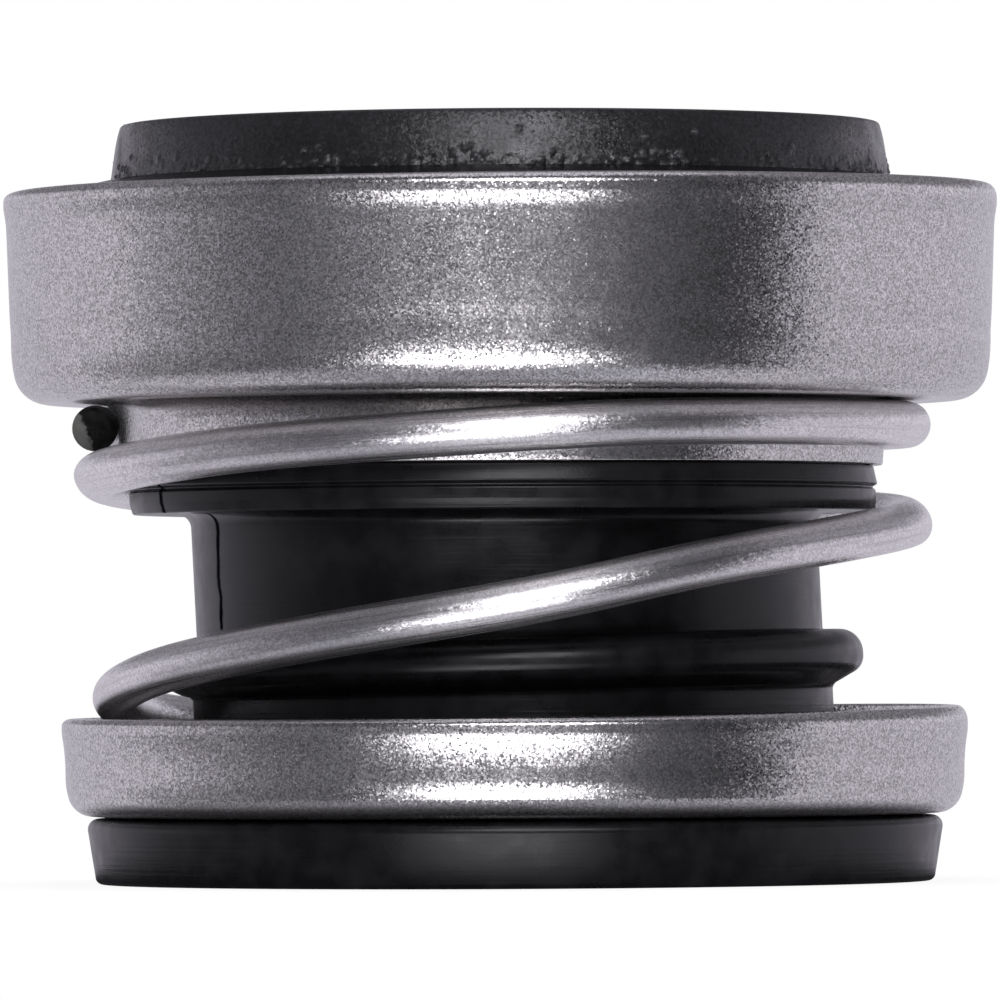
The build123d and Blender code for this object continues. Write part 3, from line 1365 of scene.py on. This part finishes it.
@dataclass
class Studio:
    """Plain studio: pale floor, white all round the back and sides, soft boxes in front, and a long lens."""

    camera_distance: float = 280.0
    camera_height: float = 8.64
    camera_side: float = -0.068
    camera_roll: float = 0.3
    camera_pitch: float = 0.8
    lens: float = 446.0
    sensor: float = 36.0
    light_distance: float = 260.0
    light_height: float = 9.0
    lamp_tint: tuple[float, ...] = (1.0, 0.98, 1.04)
    side_tint: tuple[float, ...] = (1.0, 0.96, 1.08, 1.0)
    front_tint: tuple[float, ...] = (0.99, 0.98, 1.11, 1.0)
    floor_size: float = 18000.0
    foot_clearance: float = 0.01
    shade_steps: int = 48

    # The room from behind by -X, the front and +X to behind again: (share of the turn, brightness)
    front = ((0.27, 0.0), (0.36, 1.0), (0.64, 1.0), (0.70, 0.0))
    low_wall = (
        (0.0, 0.68), (0.15, 0.67), (0.19, 0.40), (0.25, 0.27), (0.31, 0.17), (0.36, 0.11), (0.40, 0.15),
        (0.45, 0.18), (0.50, 0.18), (0.54, 0.15), (0.58, 0.11), (0.66, 0.07), (0.70, 0.30), (0.715, 0.60),
        (1.0, 0.69),
    )
    # What lies over it: (upward part of the direction where it begins, where it is full, its brightness)
    layers = (
        (-0.15, -0.09, (
            (0.0, 0.68), (0.215, 0.67), (0.25, 0.44), (0.31, 0.27), (0.35, 0.18), (0.40, 0.24),
            (0.45, 0.24), (0.50, 0.23), (0.54, 0.165), (0.58, 0.115), (0.66, 0.05), (0.69, 0.12),
            (0.715, 0.60), (1.0, 0.69),
        )),
        (0.02, 0.07, (
            (0.0, 0.74), (0.215, 0.70), (0.25, 0.44), (0.31, 0.20), (0.35, 0.09), (0.40, 0.09),
            (0.45, 0.10), (0.50, 0.10), (0.54, 0.09), (0.58, 0.05), (0.66, 0.03), (0.69, 0.09),
            (0.715, 0.70), (0.76, 0.80), (1.0, 0.80),
        )),
        (0.12, 0.3, ((0.0, 0.25), (0.20, 0.25), (0.35, 0.10), (0.65, 0.08), (0.80, 0.25))),
        (-0.5, -0.65, (
            (0.0, 0.10), (0.083, 0.40), (0.19, 0.60), (0.33, 0.42), (0.50, 0.33), (0.64, 0.55), (0.81, 0.60),
            (0.917, 0.40), (1.0, 0.10),
        )),
        (0.85, 0.95, ((0.0, 0.75), (1.0, 0.75))),
    )

    def build(self) -> None:
        """Set up the camera, the floor, the surroundings and the soft boxes."""
        self.camera()
        self.floor()
        self.surroundings()
        self.soft_box("key soft box", -22, 29, 9.5, 38, 10.0, 0.05)
        self.soft_box("low strip", -34.5, 27.0, -34, -8, 6.4, 0.10)
        bpy.context.scene.view_settings.view_transform = "Standard"

    def camera(self) -> None:
        """Place the camera far off, with a long lens, looking up at the coil a little."""
        data = bpy.data.cameras.new("camera")
        data.sensor_fit = "HORIZONTAL"
        data.sensor_width = self.sensor
        data.lens = self.lens
        data.clip_start = 0.01
        data.clip_end = 10
        camera = put_in_scene("camera", data)
        pitch = radians(self.camera_pitch)
        back = self.camera_distance * cos(pitch)
        low = self.camera_height - self.camera_distance * sin(pitch)
        camera.location = (self.camera_side * MM, -back * MM, low * MM)
        camera.rotation_euler = (radians(90) + pitch, radians(self.camera_roll), 0)
        bpy.context.scene.camera = camera

    def sheet(self, name: str, corners: list[tuple[float, float, float]], finish: Finish) -> Object:
        """Lay a flat sheet.

        Args:
            name: its name.
            corners: its corners, in metres, anticlockwise from above.
            finish: what it is made of.

        Returns:
            The sheet.
        """
        mesh = bpy.data.meshes.new(name)
        mesh.from_pydata(corners, [], [tuple(range(len(corners)))])
        mesh.materials.append(finish.material())
        return put_in_scene(name, mesh)

    def floor(self) -> None:
        """Lay the table, which only the camera sees: the pieces mirror the surroundings instead."""
        half = self.floor_size * MM / 2
        top = -self.foot_clearance * MM
        corners = [(-half, -half, top), (half, -half, top), (half, half, top), (-half, half, top)]
        table = self.sheet("table", corners, PaleFloor())
        hide_from(table, "glossy", "diffuse", "shadow")
        self.mirrored_shade()

    def mirrored_shade(self) -> Object:
        """Lay the shade at the foot of the piece that its lower edges mirror.

        Returns:
            The shade, which only mirror images show.
        """
        finish = FootShade()
        radius = finish.far * MM
        angles = [2 * pi * step / self.shade_steps for step in range(self.shade_steps)]
        corners = [(radius * cos(angle), radius * sin(angle), 0) for angle in angles]
        shade = self.sheet("mirrored shade", corners, finish)
        hide_from(shade, "camera", "diffuse", "shadow")
        return shade

    def surroundings(self) -> None:
        """Paint the room by direction: white behind and beside the piece, dark between the front lights."""
        world = bpy.data.worlds.new("studio")
        bpy.context.scene.world = world
        world.use_nodes = True
        tree = world.node_tree
        tree.nodes.clear()
        direction = add(tree, "TexCoord", out="Generated")
        parts = add(tree, "SeparateXYZ", {"Vector": direction}).node.outputs
        away = add(tree, "Math", {0: parts["Y"], 1: -1.0}, operation="MULTIPLY")
        azimuth = add(tree, "Math", {0: parts["X"], 1: away}, operation="ARCTAN2")
        turn = add(tree, "MapRange", {"Value": azimuth, "From Min": -pi, "From Max": pi})
        walls = add(tree, "ValToRGB", {"Fac": turn}, stops=self.low_wall)
        for start, end, stops in self.layers:
            layer = add(tree, "ValToRGB", {"Fac": turn}, stops=stops)
            risen = add(tree, "MapRange", {"Value": parts["Z"], "From Min": start, "From Max": end})
            walls = add(tree, "Mix", {0: risen, 6: walls, 7: layer}, data_type="RGBA")
        front = add(tree, "ValToRGB", {"Fac": turn}, stops=self.front)
        tint = add(tree, "Mix", {0: front, 6: self.side_tint, 7: self.front_tint}, data_type="RGBA")
        tinted = add(tree, "Mix", {0: 1.0, 6: walls, 7: tint}, data_type="RGBA", blend_type="MULTIPLY")
        from_camera = add(tree, "LightPath", out="Is Camera Ray")
        room = add(tree, "Background", {"Color": tinted})
        white = add(tree, "Background", {"Color": (1, 1, 1, 1)})
        mixed = add(tree, "MixShader", {0: from_camera, 1: room, 2: white})
        add(tree, "OutputWorld", {"Surface": mixed})

    def soft_box(
        self, name: str, left: float, right: float, low: float, high: float, level: float, core: float
    ) -> None:
        """Hang one soft box in front of the piece.

        Args:
            name: the lamp's name.
            left: azimuth of its left edge as the piece sees it, in degrees, 0 towards the camera.
            right: azimuth of its right edge.
            low: height of its lower edge above level, in degrees.
            high: height of its upper edge.
            level: how bright its face is, where 1 is white.
            core: how far its full brightness reaches, where 0.5 is its edge.
        """
        azimuth = radians((left + right) / 2)
        rise = radians((low + high) / 2)
        reach = self.light_distance * MM
        data = bpy.data.lights.new(name, "AREA")
        data.shape = "RECTANGLE"
        data.size = 2 * reach * tan(radians(right - left) / 2)
        data.size_y = 2 * reach * tan(radians(high - low) / 2)
        data.energy = level * pi * data.size * data.size_y
        data.color = self.lamp_tint
        data.use_nodes = True
        tree = data.node_tree
        across = add(tree, "NewGeometry", out="Parametric")
        from_middle = add(tree, "VectorMath", {0: across, 1: (0.5, 0.5, 0)}, operation="DISTANCE")
        faded = add(tree, "MapRange", {
            "Value": from_middle, "From Min": 0.5, "From Max": core,
        }, interpolation_type="SMOOTHSTEP")
        tree.links.new(faded, tree.nodes["Emission"].inputs["Strength"])
        towards = Vector((sin(azimuth) * cos(rise), -cos(azimuth) * cos(rise), sin(rise)))
        lamp = put_in_scene(name, data)
        lamp.location = towards * reach + Vector((0, 0, self.light_height * MM))
        lamp.rotation_euler = towards.to_track_quat("Z", "Y").to_euler()
        hide_from(lamp, "camera")


def main() -> None:
    """Build the studio and the seal, piece by piece, and report each."""
    logging.basicConfig(level=logging.INFO, format="%(name)s: %(message)s")
    stack = Stack.measured()
    aside = SidewaysSet()
    steel = DrawnStainless().material()
    wire = DrawnWire().material()

    Studio().build()

    ring = FaceRing(stack)
    ring_piece = ring.build()
    ring.dress(ring_piece, PressedCarbon().material())
    ring.ride(ring_piece, HEAD_BODY)

    cup = HeadCup(stack, rim=stack.head_rim - HeadCup.rim_drop, rim_radius=stack.head_radius)
    cup_piece = cup.build()
    cup.dress(cup_piece, steel)
    cup.ride(cup_piece, HEAD_BODY)

    dish = Dish(stack, rim=stack.dish_rim, rim_radius=stack.dish_radius)
    dish_piece = dish.build()
    aside.apply(dish_piece, fully_below=stack.head_rim, none_above=stack.ring_top)
    dish.dress(dish_piece, steel)
    dish.ride(dish_piece, TAIL_BODY)

    bellows = Bellows(stack)
    bellows_piece = bellows.build(cup)
    aside.apply(bellows_piece, fully_below=3.4, none_above=9.2)
    bellows.dress(bellows_piece, MouldedRubber().material())
    bellows.stretch(bellows_piece, fixed_below=4.6, moving_above=stack.collar_end - bellows.fit)

    spring = Spring(stack)
    spring_piece = spring.build(wire)
    aside.apply(spring_piece, fully_below=7.6, none_above=9.3)
    spring.dress(spring_piece, wire, ShearedSteel().material())
    spring.stretch(spring_piece, fixed_below=stack.spring_low + spring.wire, moving_above=9.8)


if __name__ == "__main__":
    main()
